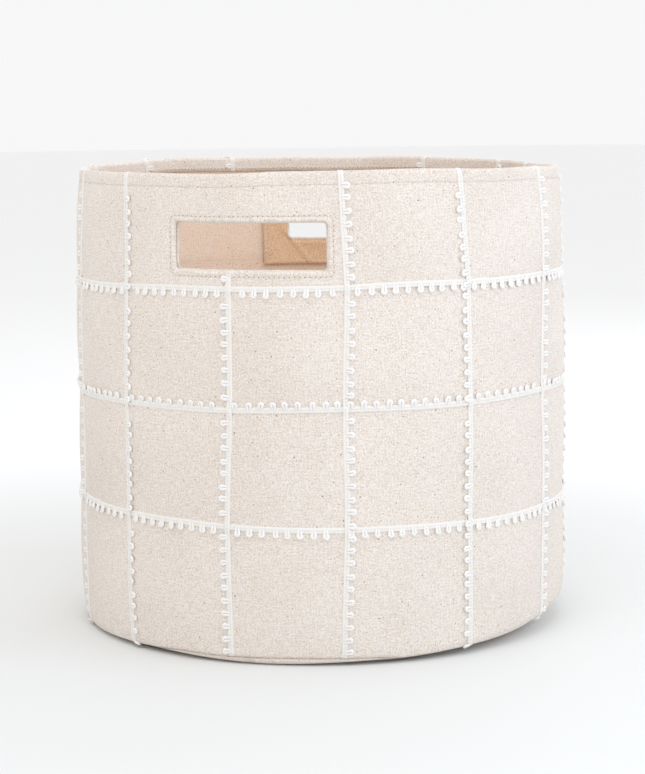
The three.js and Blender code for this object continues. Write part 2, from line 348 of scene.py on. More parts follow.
def grid_quads(across, up, holes, closed):
    """Corner numbers of the grid's faces, without those in a hole."""
    columns = len(across)
    solid = np.ones((len(up) - 1, columns if closed else columns - 1), bool)
    middle_v = (up[1:] + up[:-1]) / 2
    next_across = np.roll(across, -1) if closed else across[1:]
    if closed:
        next_across[-1] = across[0] + ROUND
    middle_u = (across[: solid.shape[1]] + next_across) / 2
    for azimuth, low, high, half, _ in holes:
        off = turn(middle_u / BELLY_RADIUS - azimuth) * BELLY_RADIUS
        solid &= ~((np.abs(off)[None, :] < half) & ((middle_v > low) & (middle_v < high))[:, None])
    index = np.arange(len(up) * columns).reshape(len(up), columns)
    quads = []
    for i, j in zip(*np.nonzero(solid)):
        k = (j + 1) % columns
        corners = (index[i, j], index[i, k], index[i + 1, k], index[i + 1, j])
        quads.append(tuple(int(corner) for corner in corners))
    return quads


def free_edges(quads):
    """The edges that only one face has."""
    edges = {}
    for quad in quads:
        for a, b in zip(quad, quad[1:] + quad[:1]):
            if (b, a) in edges:
                del edges[b, a]
            else:
                edges[a, b] = True
    return list(edges)


def round_holes(u, v, holes):
    """Grid points with those at a hole's edge moved to its rounded corners, and the way out of the hole."""
    slack = 2e-6
    rim_u, rim_v = u.copy(), v.copy()
    outward = np.zeros((u.size, 2))
    for azimuth, low, high, half, corner in holes:
        off = turn(u / BELLY_RADIUS - azimuth) * BELLY_RADIUS
        inside = (np.abs(off) < half + slack) & (v > low - slack) & (v < high + slack)
        core_u = np.clip(off, -half + corner, half - corner)
        core_v = np.clip(v, low + corner, high - corner)
        away = np.stack([off - core_u, v - core_v], axis=1)
        length = np.maximum(np.linalg.norm(away, axis=1), 1e-9)
        away = away / length[:, None]
        rim_u = np.where(inside, u - off + core_u + away[:, 0] * corner, rim_u)
        rim_v = np.where(inside, core_v + away[:, 1] * corner, rim_v)
        outward = np.where(inside[:, None], away, outward)
    return rim_u, rim_v, outward


def cloth(
    name, across, up, surface, thickness, material, holes=(), lip=(), closed=True, weld=False, edging=None
):
    """A sheet of cloth with both faces and all its edges, as one closed mesh.

    across and up are its grid lines: distance round the bin and along the sheet, in metres. surface(azimuth,
    up, depth) gives points, with depth below the face that shows. holes are (azimuth, low, high, half width,
    corner radius), and lip is the (inset, depth) steps by which a hole's edge turns in. A closed sheet meets
    itself round the bin."""
    grid_u, grid_v = np.meshgrid(across, up)
    u, v = grid_u.ravel(), grid_v.ravel()
    count = u.size
    quads = grid_quads(across, up, holes, closed)
    rim_u, rim_v, outward = round_holes(u, v, holes)

    azimuth = rim_u / BELLY_RADIUS
    flat_uv = np.stack([u, v], 1)
    points = [surface(azimuth, rim_v, 0 * u), surface(azimuth, rim_v, 0 * u + thickness)]
    uvs = [flat_uv, flat_uv]
    for inset, depth in lip:
        lip_u, lip_v = rim_u - inset * outward[:, 0], rim_v - inset * outward[:, 1]
        points.append(surface(lip_u / BELLY_RADIUS, lip_v, 0 * u + depth))
        uvs.append(flat_uv + depth * outward)

    faces = [*quads, *[tuple(corner + count for corner in reversed(quad)) for quad in quads]]
    flat_faces = len(faces)
    through_lip = [0, *range(2, 2 + len(lip)), 1]
    on_hole = np.linalg.norm(outward, axis=1) > 0
    for a, b in free_edges(quads):
        steps = through_lip if on_hole[a] and on_hole[b] else [0, 1]
        for near, far in zip(steps, steps[1:]):
            faces.append((b + near * count, a + near * count, a + far * count, b + far * count))

    points, uvs = np.concatenate(points), np.concatenate(uvs)
    used = np.unique([i for face in faces for i in face])
    renumber = np.full(len(points), -1)
    renumber[used] = np.arange(len(used))
    faces = [tuple(renumber[list(face)].tolist()) for face in faces]
    return make_piece(name, points[used], faces, uvs[used], material, weld, edging, flat_faces)


def path_frames(points, normals, closed=False):
    """Unit tangent, normal and side at each point of a path that lies on a surface."""
    before = np.roll(points, 1, axis=0)
    after = np.roll(points, -1, axis=0)
    if not closed:
        before[0], after[-1] = points[0], points[-1]
    along = after - before
    along /= np.linalg.norm(along, axis=1)[:, None]
    normals = normals - along * np.sum(normals * along, axis=1)[:, None]
    normals /= np.linalg.norm(normals, axis=1)[:, None]
    return along, normals, np.cross(along, normals)


def tube(line, radii, sides):
    """Vertices and faces of a closed tube round a line of points; radii is (across, up) for each point."""
    line = np.asarray(line, float)
    along = np.gradient(line, axis=0)
    along /= np.linalg.norm(along, axis=1)[:, None]
    up = np.tile([0.0, 0.0, 1.0], (len(line), 1))
    side = np.cross(along, up)
    side /= np.linalg.norm(side, axis=1)[:, None]
    up = np.cross(side, along)
    angles = 2 * math.pi * np.arange(sides) / sides
    rings = [
        p + s * (rx * np.cos(angles))[:, None] + u * (ry * np.sin(angles))[:, None]
        for p, s, u, (rx, ry) in zip(line, side, up, radii)
    ]
    vertices = np.concatenate(rings)
    faces = []
    for i in range(len(line) - 1):
        for j in range(sides):
            k = (j + 1) % sides
            faces.append((i * sides + j, i * sides + k, (i + 1) * sides + k, (i + 1) * sides + j))
    faces.append(tuple(range(sides - 1, -1, -1)))
    faces.append(tuple((len(line) - 1) * sides + j for j in range(sides)))
    lengths = run_lengths(line)
    uvs = np.stack([np.repeat(lengths, sides), np.tile(angles, len(line)) * MM], axis=1)
    return vertices, faces, uvs


class Parts:
    """Gathers small shapes into one mesh."""

    def __init__(self):
        self.vertices, self.faces, self.uvs, self.count = [], [], [], 0

    def add(self, vertices, faces, uvs):
        self.faces += [tuple(i + self.count for i in face) for face in faces]
        self.vertices.append(vertices)
        self.uvs.append(uvs)
        self.count += len(vertices)

    def make(self, name, material):
        return make_piece(name, np.concatenate(self.vertices), self.faces, np.concatenate(self.uvs), material)


def set_down(shape, origin, along, side, normal):
    """A shape made at the origin (x along, y to the side, z out of the cloth) put in its place."""
    return origin + shape[:, :1] * along + shape[:, 1:2] * side + shape[:, 2:3] * normal


# ----------------------------------------
# Materials


class Shader:
    """A new material and short ways to add its nodes."""

    def __init__(self, name, roughness=0.9, sheen=0.15):
        self.material = bpy.data.materials.new(name)
        self.material.use_nodes = True
        self.tree = self.material.node_tree
        self.surface = self.tree.nodes["Principled BSDF"]
        self.set(self.surface, {"Roughness": roughness, "Sheen Weight": sheen, "Specular IOR Level": 0.25})
        self.uv = self.node("ShaderNodeUVMap", uv_map="cloth").outputs["UV"]

    def node(self, kind, inputs=None, **settings):
        node = self.tree.nodes.new(kind)
        for key, value in settings.items():
            setattr(node, key, value)
        self.set(node, inputs or {})
        return node

    def set(self, node, inputs):
        for key, value in inputs.items():
            if isinstance(value, bpy.types.NodeSocket):
                self.tree.links.new(value, node.inputs[key])
            else:
                node.inputs[key].default_value = value

    def math(self, operation, a, b=0.0, clamp=False):
        node = self.node("ShaderNodeMath", {0: a, 1: b}, operation=operation, use_clamp=clamp)
        return node.outputs[0]

    def plus(self, a, b, clamp=False):
        return self.math("ADD", a, b, clamp)

    def times(self, a, b):
        return self.math("MULTIPLY", a, b)

    def mix(self, factor, a, b):
        node = self.node("ShaderNodeMix", {0: factor, 6: a, 7: b}, data_type="RGBA")
        return node.outputs[2]

    def noise(self, vector, scale, detail=2.0, stretch=(1, 1, 1)):
        scaled = self.node("ShaderNodeVectorMath", {0: vector, 1: stretch}, operation="MULTIPLY").outputs[0]
        inputs = {"Vector": scaled, "Scale": scale, "Detail": detail}
        return self.node("ShaderNodeTexNoise", inputs).outputs["Fac"]

    def smooth(self, value, low, high, start=0.0, end=1.0):
        inputs = {0: value, 1: low, 2: high, 3: start, 4: end}
        return self.node("ShaderNodeMapRange", inputs, interpolation_type="SMOOTHSTEP").outputs[0]

    def bump(self, height, distance, strength=1.0):
        node = self.node("ShaderNodeBump", {"Height": height, "Distance": distance, "Strength": strength})
        self.set(self.surface, {"Normal": node.outputs["Normal"]})

    def finish(self, colour):
        self.set(self.surface, {"Base Color": colour})
        return self.material


def plain_weave(shader, pitch, unevenness):
    """Height of a plain weave: warp and weft yarns that pass over and under each other."""
    wander = shader.noise(shader.uv, 260)
    wander = shader.times(shader.math("SUBTRACT", wander, 0.5), unevenness)
    split = shader.node("ShaderNodeSeparateXYZ", {0: shader.uv})
    waves, signs = [], []
    for axis in ("X", "Y"):
        place_in_yarns = shader.plus(shader.math("DIVIDE", split.outputs[axis], pitch), wander)
        waves.append(shader.math("SINE", shader.times(place_in_yarns, math.pi)))
        signs.append(shader.math("SIGN", waves[-1]))
    over = [shader.times(signs[0], waves[1]), shader.times(signs[1], waves[0])]
    warp = shader.plus(shader.math("ABSOLUTE", waves[0]), shader.times(over[0], 0.8))
    weft = shader.math("SUBTRACT", shader.math("ABSOLUTE", waves[1]), shader.times(over[1], 0.8))
    return shader.math("MAXIMUM", warp, weft)


def fleck_layer(shader, colour, cell, radius, share, tones):
    """Specks of seed husk spun into natural cotton: a few of the cells hold one, of its own size and tone."""
    inputs = {"Vector": shader.uv, "Scale": 1 / cell}
    cells = shader.node("ShaderNodeTexVoronoi", inputs, voronoi_dimensions="2D")
    draw = shader.node("ShaderNodeSeparateColor", {0: cells.outputs["Color"]})
    size = shader.times(shader.plus(draw.outputs["Green"], 0.45), radius / cell)
    speck = shader.smooth(shader.math("DIVIDE", cells.outputs["Distance"], size), 0.55, 1.0, 1.0, 0.0)
    chosen = shader.math("LESS_THAN", draw.outputs["Red"], share)
    tone = shader.mix(draw.outputs["Blue"], tones[0], tones[1])
    return shader.mix(shader.times(speck, chosen), colour, tone)


# Slubs, the thick places in a yarn: noise waves per metre along the yarn and across it.
SLUB_LONG, SLUB_THIN = 150, 1100


def canvas_material(name, light, dark, fleck_share=0.5, pitch=0.74 * MM):
    """Natural cotton duck: a plain weave of uneven yarns with seed flecks, and painted shade in the hollows
    between the yarns.
    """
    shader = Shader(name)
    weave = plain_weave(shader, pitch, 0.35)
    warp_slubs = shader.noise(shader.uv, 1, 3, (SLUB_LONG, SLUB_THIN, 1))
    weft_slubs = shader.noise(shader.uv, 1, 3, (SLUB_THIN, SLUB_LONG, 1))
    slubs = shader.plus(warp_slubs, weft_slubs)
    grain = shader.noise(shader.uv, 900, 3)
    cloudy = shader.noise(shader.uv, 14, 3)
    creamy = (light[0], light[1] * 0.985, light[2] * 0.9, 1)
    tone = shader.plus(shader.times(slubs, 0.3), shader.times(grain, 0.7))
    tone = shader.plus(tone, shader.times(cloudy, 0.16))
    # The hollows of the weave are painted towards the dark colour: painted shade between the yarns. The dark
    # colour also carries the yarns' own random tone.
    painted_hollow_shade = shader.smooth(weave, 0.35, 1.3, 0.45, 0.0)
    yarn = shader.mix(shader.smooth(shader.noise(shader.uv, 620, 1), 0.35, 0.65), light, creamy)
    colour = shader.mix(shader.plus(shader.smooth(tone, 0.55, 0.95), painted_hollow_shade, clamp=True), yarn, dark)
    for cell, radius, share, tones in FLECKS:
        colour = fleck_layer(shader, colour, cell, radius, share * fleck_share, tones)
    shader.bump(shader.plus(weave, shader.times(slubs, 0.5)), 0.12 * MM, 0.8)
    return shader.finish(colour)


def yarn_material(name, light, dark, pitch):
    """Twisted thread or cord: ridges that wind round it, with painted shade in the grooves between them. uv
    is the length and the way round.
    """
    shader = Shader(name, 0.85, 0.2)
    split = shader.node("ShaderNodeSeparateXYZ", {0: shader.uv})
    along = shader.times(split.outputs["X"], 2 * math.pi / pitch)
    around = shader.math("DIVIDE", split.outputs["Y"], MM)
    ridge = shader.math("SINE", shader.plus(along, around))
    fuzz = shader.noise(shader.uv, 2400)
    # The grooves between the ridges are painted towards the dark colour, as painted shade; the fuzz noise
    # adds the yarn's own uneven tone.
    colour = shader.mix(shader.smooth(shader.plus(ridge, fuzz), -1, 0.6, 0.6, 0.0), light, dark)
    shader.bump(shader.plus(ridge, fuzz), 0.12 * MM, 0.7)
    return shader.finish(colour)


CHEVRON_WIDTH = 1.3 * MM
CHEVRON_LENGTH = 0.9 * MM


def tape_material(name, light, dark):
    """The woven ground of the trim: fine chevrons either side of its middle, with painted shade in their
    grooves.
    """
    shader = Shader(name, 0.88, 0.2)
    split = shader.node("ShaderNodeSeparateXYZ", {0: shader.uv})
    off_middle = shader.math("ABSOLUTE", split.outputs["Y"])
    across = shader.times(off_middle, 2 * math.pi / CHEVRON_WIDTH)
    along = shader.times(split.outputs["X"], 2 * math.pi / CHEVRON_LENGTH)
    chevron = shader.math("SINE", shader.plus(along, across))
    fuzz = shader.noise(shader.uv, 1800)
    height = shader.plus(chevron, fuzz)
    shader.bump(height, 0.1 * MM, 0.7)
    # The chevrons' grooves are painted towards the dark colour, as painted shade; the fuzz noise adds the
    # tape's own uneven tone.
    return shader.finish(shader.mix(shader.smooth(height, -0.8, 0.8, 0.8, 0.0), light, dark))


def plain_material(name, light, dark, scale, roughness=0.9):
    """A quiet mottled surface for what barely shows."""
    shader = Shader(name, roughness, 0.0)
    mottle = shader.noise(shader.uv, scale, 4)
    shader.bump(mottle, 0.1 * MM, 0.4)
    return shader.finish(shader.mix(mottle, light, dark))


def rgb(red, green, blue):
    """A linear colour from the usual 0 to 255 screen values, none of them near black."""
    linear = [((value / 255 + 0.055) / 1.055) ** 2.4 for value in (red, green, blue)]
    return (*linear, 1)


FLECK_DARK, FLECK_RUST = rgb(120, 88, 62), rgb(176, 126, 84)
FLECK_OLIVE, FLECK_TAN = rgb(196, 182, 134), rgb(208, 174, 138)
FLECK_STRAW, FLECK_PINK = rgb(226, 214, 172), rgb(228, 202, 188)
# Flecks from the finest to the coarsest: cell size, fleck radius, how usual they are and their two tones.
FLECKS = (
    (1.4 * MM, 0.27 * MM, 1.0, (FLECK_STRAW, FLECK_PINK)),
    (2.3 * MM, 0.3 * MM, 1.0, (FLECK_OLIVE, FLECK_TAN)),
    (5.5 * MM, 0.34 * MM, 0.6, (FLECK_RUST, FLECK_OLIVE)),
    (13 * MM, 0.42 * MM, 1.0, (FLECK_RUST, FLECK_DARK)),
)

CANVAS_CLOTH = canvas_material("natural_canvas", rgb(249, 243, 240), rgb(217, 204, 194))
LINING_CLOTH = canvas_material("lining_cotton", rgb(255, 248, 239), rgb(246, 217, 195), 0.4, 0.6 * MM)
FACING_CLOTH = canvas_material("facing_canvas", rgb(250, 221, 193), rgb(214, 174, 140), 0.25)
TRIM_TAPE = tape_material("trim_tape", rgb(249, 247, 244), rgb(226, 219, 211))
TRIM_CORD = yarn_material("trim_gimp_cord", rgb(250, 248, 246), rgb(230, 223, 215), 0.9 * MM)
THREAD = yarn_material("sewing_thread", rgb(243, 236, 224), rgb(214, 201, 184), 0.6 * MM)
# Needle holes are coloured dark brown: painted shade in the pits the needle leaves.
NEEDLE_HOLE_SHADE = plain_material("needle_hole_shade", rgb(146, 120, 90), rgb(122, 98, 70), 3000)
FELT = plain_material("felt", rgb(240, 238, 234), rgb(222, 218, 210), 900)
BOBBIN = plain_material("bobbin_thread", rgb(246, 222, 200), rgb(226, 196, 170), 900)
BOARD = plain_material("fibre_board", rgb(183, 155, 120), rgb(160, 130, 96), 700, 0.85)


# ----------------------------------------
# The cloth layers

GRID = 3.4 * MM


def window_holes(grow, base=0.0):
    """Both windows as holes in a cloth whose up line starts at height base."""
    half = WINDOW_HALF + grow
    low, high = WINDOW_LOW - grow - base, WINDOW_HIGH + grow - base
    return [(azimuth, low, high, half, WINDOW_CORNER + grow) for azimuth in WINDOWS.values()]


def round_lines(holes, fine=()):
    """Grid lines all the way round the bin, starting beside the wall's seam."""
    start = WALL_SEAM * BELLY_RADIUS + 9 * MM
    wanted = [*hole_stops(holes)[0], *fine]
    wanted = [start + (x - start) % ROUND for x in wanted]
    return stops([start, *wanted, start + ROUND], GRID)[:-1]


# How a hole's edge turns in: (inset from the edge, depth below the face).
CANVAS_LIP = [(a * MM, b * MM) for a, b in ((0.6, 0.25), (1.1, 0.75), (1.4, 1.4), (1.4, 2.1), (0.7, 2.4))]
FACING_LIP = [(a * MM, b * MM) for a, b in ((0.5, 0), (1.2, 0.3), (1.5, 1), (1.2, 1.8), (0.4, 2.2))]
# How much wider than the window itself each layer is cut.
CANVAS_GROW, INNER_GROW, FACING_GROW = 1.5 * MM, 1.0 * MM, 0.9 * MM
RIM_STEPS = 8


def canvas_wall():
    """The outer canvas: out of the base seam, up, over the rim and down inside to the edge of the hem."""
    holes = window_holes(CANVAS_GROW, SEAM)
    seam = [WALL_SEAM * BELLY_RADIUS + x * MM for x in (-2.4, -1.2, -0.5, 0, 0.5, 1.2, 2.4)]
    base_seam = [x * MM for x in (0, 0.5, 1.2, 2.2)]
    hem_seam = [HEM_STITCH - SEAM + x * MM for x in (-2.2, -1.1, 0, 1.1, 2.2)]
    rim = [TO_RIM + (OVER_RIM - TO_RIM) * i / RIM_STEPS for i in range(RIM_STEPS + 1)]
    up = stops([*base_seam, *hole_stops(holes)[1], *hem_seam, *rim, HEM_END], GRID)

    def face(azimuth, along, depth):
        return on_canvas(azimuth, along, -depth)

    piece = cloth("canvas_wall", round_lines(holes, seam), up, face, CANVAS, CANVAS_CLOTH, holes, CANVAS_LIP)
    stand_for("outer_wall")


def inner_layer(name, node, low, high, out, thickness, material):
    """A plain band of cloth inside the canvas, with both windows cut in it."""
    holes = window_holes(INNER_GROW)
    up = stops([low, *hole_stops(holes)[1], high], GRID)

    def face(azimuth, z, depth):
        return place(azimuth, z, out - thickness + depth)

    piece = cloth(name, round_lines(holes), up, face, thickness, material, holes)
    stand_for(node)


def felt_interlining():
    """The stiffening that lets the wall stand. It stops in the hem."""
    low, high = SEAM + GAP, HEIGHT - 2.2 * MM
    inner_layer("felt_interlining", "wall_stiffener", low, high, STIFFENER_OUT, STIFFENER, FELT)


def cotton_lining():
    """The warm cotton inside the bin, from the floor lining up into the hem."""
    low, high = FLOOR_TOP + GAP, HEIGHT - 3 * MM
    inner_layer("cotton_lining", "wall_lining", low, high, LINING_OUT, LINING, LINING_CLOTH)


EDGE_STITCH = 1.8 * MM
FACING_HALF = WINDOW_HALF + FACING_BORDER
FACING_LOW = WINDOW_LOW - FACING_BORDER
FACING_EDGE = [d * MM for d in (0, 0.5, 1.2, 2.4)]
FACING_GRID = 2.2 * MM
# The crease in the back patch runs from its top to its bottom end, each (azimuth, height).
CREASE = ((math.radians(205.3), WINDOW_LOW + 4 * MM), (math.radians(199.3), WINDOW_LOW - 17 * MM))
CREASE_DEPTH = 1.5 * MM
CREASE_WIDTH = 1.7 * MM
STANDS_OFF = 1.6 * MM


def facing_face(side, azimuth, z, depth):
    """The inner face of a window's patch: its border stands off the lining, and one corner is creased."""
    to_side = FACING_HALF - np.abs(turn(azimuth - WINDOWS[side])) * BELLY_RADIUS
    to_edge = np.minimum(to_side, z - FACING_LOW)
    out = 0.5 * MM * bump(to_edge, 0.6 * MM) - STANDS_OFF * bump(to_edge, 5 * MM)
    out = out + 0.25 * MM * bump(to_edge - EDGE_STITCH, 0.8 * MM)
    if side == "back":
        start, end = CREASE
        run = np.clip((start[1] - z) / (start[1] - end[1]), -0.3, 1.2)
        line = start[0] + (end[0] - start[0]) * run
        past_ends = np.maximum(z - start[1], 0) + np.maximum(end[1] - z, 0)
        beside = turn(azimuth - line) * BELLY_RADIUS
        out = out - CREASE_DEPTH * bump(beside, CREASE_WIDTH) * bump(past_ends, 5 * MM)
    return place(azimuth, z, FACING_IN + out + depth)


def facing(side):
    """The patch inside the lining round a window, with its edge turned out through the hole."""
    grow = FACING_GROW
    centre = WINDOWS[side] * BELLY_RADIUS
    hole = (WINDOWS[side], WINDOW_LOW - grow, WINDOW_HIGH + grow, WINDOW_HALF + grow, WINDOW_CORNER + grow)
    hole_across, hole_up = hole_stops([hole])
    high = HEM_LOW - GAP
    edge_across = [centre + sign * (FACING_HALF - inset) for inset in FACING_EDGE for sign in (-1, 1)]
    edge_up = [FACING_LOW + inset for inset in FACING_EDGE]
    across = stops([*hole_across, *edge_across], FACING_GRID)
    up = stops([*hole_up, *edge_up, high], FACING_GRID)

    def face(azimuth, z, depth):
        return facing_face(side, azimuth, z, depth)

    name = f"{side}_window_facing"
    piece = cloth(
        name, across, up, face, FACING, FACING_CLOTH, [hole], FACING_LIP, closed=False, edging=CANVAS_CLOTH
    )
    stand_for(f"{side}_handle_facing")


BASE_FLAT = FOOT_RADIUS - FOOT_CURVE
BASE_GRID = 10 * MM
LIFTED_RING = 16 * MM  # the base lifts within this much of its edge
SIDES_LIFT = 4.2 * MM
FRONT_SITS_LOWER = 3.9 * MM


def base_lift(azimuth, radius):
    """How far the base stands off the floor near its edge: it only sits down at the front."""
    share = np.clip(1 - (BASE_FLAT - radius) / LIFTED_RING, 0, 1) ** 1.5
    return share * (SIDES_LIFT - FRONT_SITS_LOWER * bump(turn(azimuth - SEAM_SHOWS), 0.4))


def base_layer(azimuth, along, z, edge):
    """Points on a flat layer in the base: the wall round it lifts its edge and presses it in."""
    near_edge = (along / edge) ** 6
    lifted = z + base_lift(azimuth, along)
    radius = along + dents(azimuth, lifted) * near_edge
    return polar(azimuth, radius, lifted + rise(azimuth, z) * near_edge)


def canvas_base():
    """The base cloth: flat on the floor, turned up round its edge to the seam."""
    top = math.acos(1 - SEAM / FOOT_CURVE)
    arc = [BASE_FLAT + FOOT_CURVE * top * i / 6 for i in range(7)]
    up = stops([0, *arc], 6 * MM)

    def face(azimuth, along, depth):
        angle = np.clip((along - BASE_FLAT) / FOOT_CURVE, 0, None)
        radius = np.minimum(along, BASE_FLAT) + (FOOT_CURVE - depth) * np.sin(angle)
        z = FOOT_CURVE - (FOOT_CURVE - depth) * np.cos(angle)
        z = z + base_lift(azimuth, along) * (1 - z / SEAM)
        sag = dents(azimuth, z) + seams(azimuth, z)
        grip = np.clip((radius - 0.75 * FOOT_RADIUS) / (0.25 * FOOT_RADIUS), 0, 1) ** 2
        radius = radius + sag * grip
        return polar(azimuth, radius, z + rise(azimuth, z) * np.where(along > BASE_FLAT, 1, 0))

    piece = cloth("canvas_base", stops([0, ROUND], 8 * MM)[:-1], up, face, CANVAS, CANVAS_CLOTH, weld=True)
    stand_for("base_cover")


def fibre_board():
    """The stiff disc in the base. Its edge is bent up and pressed in where the base is."""
    low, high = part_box("base_board")
    edge = (high.x - low.x) / 2

    def face(azimuth, along, depth):
        return base_layer(azimuth, along, high.z - depth, edge)

    across = stops([0, ROUND], BASE_GRID)[:-1]
    up = stops([0, edge - 20 * MM, edge], 5 * MM)
    piece = cloth("fibre_board", across, up, face, high.z - low.z, BOARD, weld=True)
    stand_for("base_board")


def floor_lining():
    """The cotton disc on the bin's inside floor, its edge sewn to the wall's lining."""
    edge = FOOT_RADIUS + LINING_OUT - LINING - GAP

    def face(azimuth, along, depth):
        share = np.clip(along / edge, 0, 1)
        ripple = 0.25 * np.sin(3 * azimuth + 11 * share) * share + 0.2 * np.cos(9 * share + azimuth)
        turned_up = 0.9 * np.clip(share * 8 - 7, 0, 1) ** 2
        soft = 0.7 * MM * ((ripple + 0.45) * np.clip(1.02 - share, 0, 1) + turned_up)
        return base_layer(azimuth, along, FLOOR_TOP - depth + soft, edge)

    across = stops([0, ROUND], BASE_GRID)[:-1]
    up = stops([0, edge - 20 * MM, edge - 2 * MM, edge], 5 * MM)
    piece = cloth("cotton_floor", across, up, face, LINING, LINING_CLOTH, weld=True)
    stand_for("base_lining")


# ----------------------------------------
# Stitches


HEM_PITCH = 2.9 * MM
WINDOW_PITCH = 3.2 * MM
BOBBIN_PITCH = 2.6 * MM
THREAD_RADIUS = 0.26 * MM
NEEDLE_HOLE_RADIUS = 0.4 * MM
RING_STEPS = 720
RING = [2 * math.pi * i / RING_STEPS for i in range(RING_STEPS)]


def stitch_shape(length, radius, steps=7, sides=6):
    """One stitch: a thread that comes up, lies on the cloth and goes down again."""
    x = np.linspace(-0.5, 0.5, steps) * length
    z = radius * (1.1 - 2.6 * np.abs(x / (0.5 * length)) ** 4)
    line = np.stack([x, 0 * x, z], axis=1)
    return tube(line, [(radius, radius)] * steps, sides)


def hole_shape(radius):
    """A needle hole: a small dimple flush with the cloth, coloured dark as painted shade in the pit."""
    sides = 8
    angles = 2 * math.pi * np.arange(sides) / sides
    ring = np.stack([radius * np.cos(angles), 0.8 * radius * np.sin(angles), 0 * angles], axis=1)
    vertices = np.concatenate([ring + [0, 0, 0.05 * MM], 0.6 * ring - [0, 0, 0.25 * MM]])
    faces = [(i, (i + 1) % sides, sides + (i + 1) % sides, sides + i) for i in range(sides)]
    faces += [tuple(range(sides - 1, -1, -1)), tuple(range(sides, 2 * sides))]
    return vertices, faces, vertices[:, :2]


def evenly(points, normals, pitch, closed):
    """The same line and its normals with the points one pitch apart."""
    both = np.concatenate([points, normals], axis=1)
    if closed:
        both = np.concatenate([both, both[:1]])
    lengths = run_lengths(both[:, :3])
    count = max(2, round(lengths[-1] / pitch))
    wanted = np.linspace(0, lengths[-1], count, endpoint=not closed)
    both = np.stack([np.interp(wanted, lengths, column) for column in both.T], axis=1)
    return both[:, :3], both[:, 3:]


def stitch_row(name, node, surface, line, pitch, closed, hole_size=NEEDLE_HOLE_RADIUS):
    """A row of stitches along line, a list of (azimuth, up), with a needle hole between each two."""
    azimuth, up = np.array(line).T
    points = surface(azimuth, up, 0)
    points, normals = evenly(points, surface(azimuth, up, MM) - points, pitch, closed)
    along, normal, side = path_frames(points, normals, closed)
    stitch, hole = stitch_shape(0.8 * pitch, THREAD_RADIUS), hole_shape(hole_size)
    parts, holes = Parts(), Parts()
    for p, a, s, n in zip(points, along, side, normal):
        parts.add(set_down(stitch[0], p, a, s, n), *stitch[1:])
        holes.add(set_down(hole[0], p + 0.5 * pitch * a, a, s, n), *hole[1:])
    piece = parts.make(name, THREAD)
    stand_for(node)
    holes.make(f"{name}_holes", NEEDLE_HOLE_SHADE)


def rounded_line(azimuth, low, high, half, corner, steps=5):
    """(azimuth, up) points round a rectangle with rounded corners on the cloth."""
    line = []
    for quarter, (x, z) in enumerate([(1, -1), (1, 1), (-1, 1), (-1, -1)]):
        for i in range(steps + 1):
            angle = math.pi / 2 * (quarter - 1 + i / steps)
            u = x * (half - corner) + corner * math.cos(angle)
            v = (high if z > 0 else low) - z * corner + corner * math.sin(angle)
            line.append((azimuth + u / BELLY_RADIUS, v))
    return dense(line, True)


def dense(line, closed, step=1.5 * MM):
    """The same line with points close enough to follow the cloth's curve."""
    ends = line[1:] + line[:1] if closed else line[1:]
    points = []
    for (a, v), (b, w) in zip(line, ends):
        count = max(1, math.ceil(math.hypot((b - a) * BELLY_RADIUS, w - v) / step))
        points += [(a + (b - a) * i / count, v + (w - v) * i / count) for i in range(count)]
    return points if closed else [*points, line[-1]]


def hem_stitches():
    """The hem's topstitch, seen on both sides of the wall. The needle holes are finer outside."""
    outside = ("outside", HEM_STITCH - SEAM, 0.17 * MM)
    inside = ("inside", OVER_RIM + HEIGHT - RIM_CURVE - HEM_STITCH, 0.28 * MM)
    for face, along, hole in (outside, inside):
        line = [(azimuth, along) for azimuth in RING]
        name, node = f"hem_stitches_{face}", f"hem_topstitch_{face}"
        stitch_row(name, node, on_canvas, line, HEM_PITCH, True, hole)


def window_stitches(side):
    """The topstitch round a window."""
    low, high = WINDOW_LOW - STITCH_OFFSET - SEAM, WINDOW_HIGH + STITCH_OFFSET - SEAM
    line = rounded_line(WINDOWS[side], low, high, WINDOW_HALF + STITCH_OFFSET, STITCH_CORNER)
    name, node = f"{side}_window_stitches", f"{side}_window_topstitch"
    stitch_row(name, node, on_canvas, line, WINDOW_PITCH, True)


def facing_stitches(side):
    """The stitches that hold the free edges of a window's patch to the lining."""
    left, right = (WINDOWS[side] + sign * (FACING_HALF - EDGE_STITCH) / BELLY_RADIUS for sign in (-1, 1))
    low, high = FACING_LOW + EDGE_STITCH, HEM_LOW - MM
    edge = dense([(left, high), (left, low), (right, low), (right, high)], False)

    def inside(azimuth, z, lift):
        return facing_face(side, azimuth, z, -lift)

    name, node = f"{side}_facing_stitches", f"{side}_facing_edge_stitch"
    stitch_row(name, node, inside, edge, HEM_PITCH, False)


def bobbin_stitches():
    """The back of the seams that hold the trims shows on the lining as a thin dashed line."""
    stitch = stitch_shape(1.6 * MM, 0.17 * MM, steps=4, sides=4)
    parts = Parts()
    inside = LINING_OUT - LINING
    heights = stops([FLOOR_TOP + 6 * MM, WINDOW_LOW - 8 * MM], 6 * MM)
    lines = [[(azimuth, row_height(row, azimuth) - 1.5 * MM) for azimuth in RING] for row in ROWS]
    lines += [[(azimuth, z) for z in heights] for azimuth in UPRIGHTS.values()]
    for line in lines:
        azimuth, up = np.array(line).T
        points = place(azimuth, up, inside)
        normals = place(azimuth, up, inside - MM) - points
        points, normals = evenly(points, normals, BOBBIN_PITCH, len(line) == RING_STEPS)
        along, normal, side = path_frames(points, normals)
        for p, a, s, n in zip(points, along, side, normal):
            parts.add(set_down(stitch[0], p, a, s, n), *stitch[1:])
    parts.make("bobbin_stitches", BOBBIN)


# ----------------------------------------
# Picot trim

PICOT_PITCH = 8 * MM
CORD = 1.16 * MM
CORD_FLATTENED = 0.8
HEAD_OUT = 3.3  # mm from the tape's middle to the middle of a loop's head
HEAD_HALF_WIDTH, HEAD_HALF_HEIGHT = 1.05, 1.1  # mm
CORD_LIFT = 0.8  # mm
SEWING_PITCH = 2.3 * MM
CLEAR_OF_CROSSING = 2.6 * MM


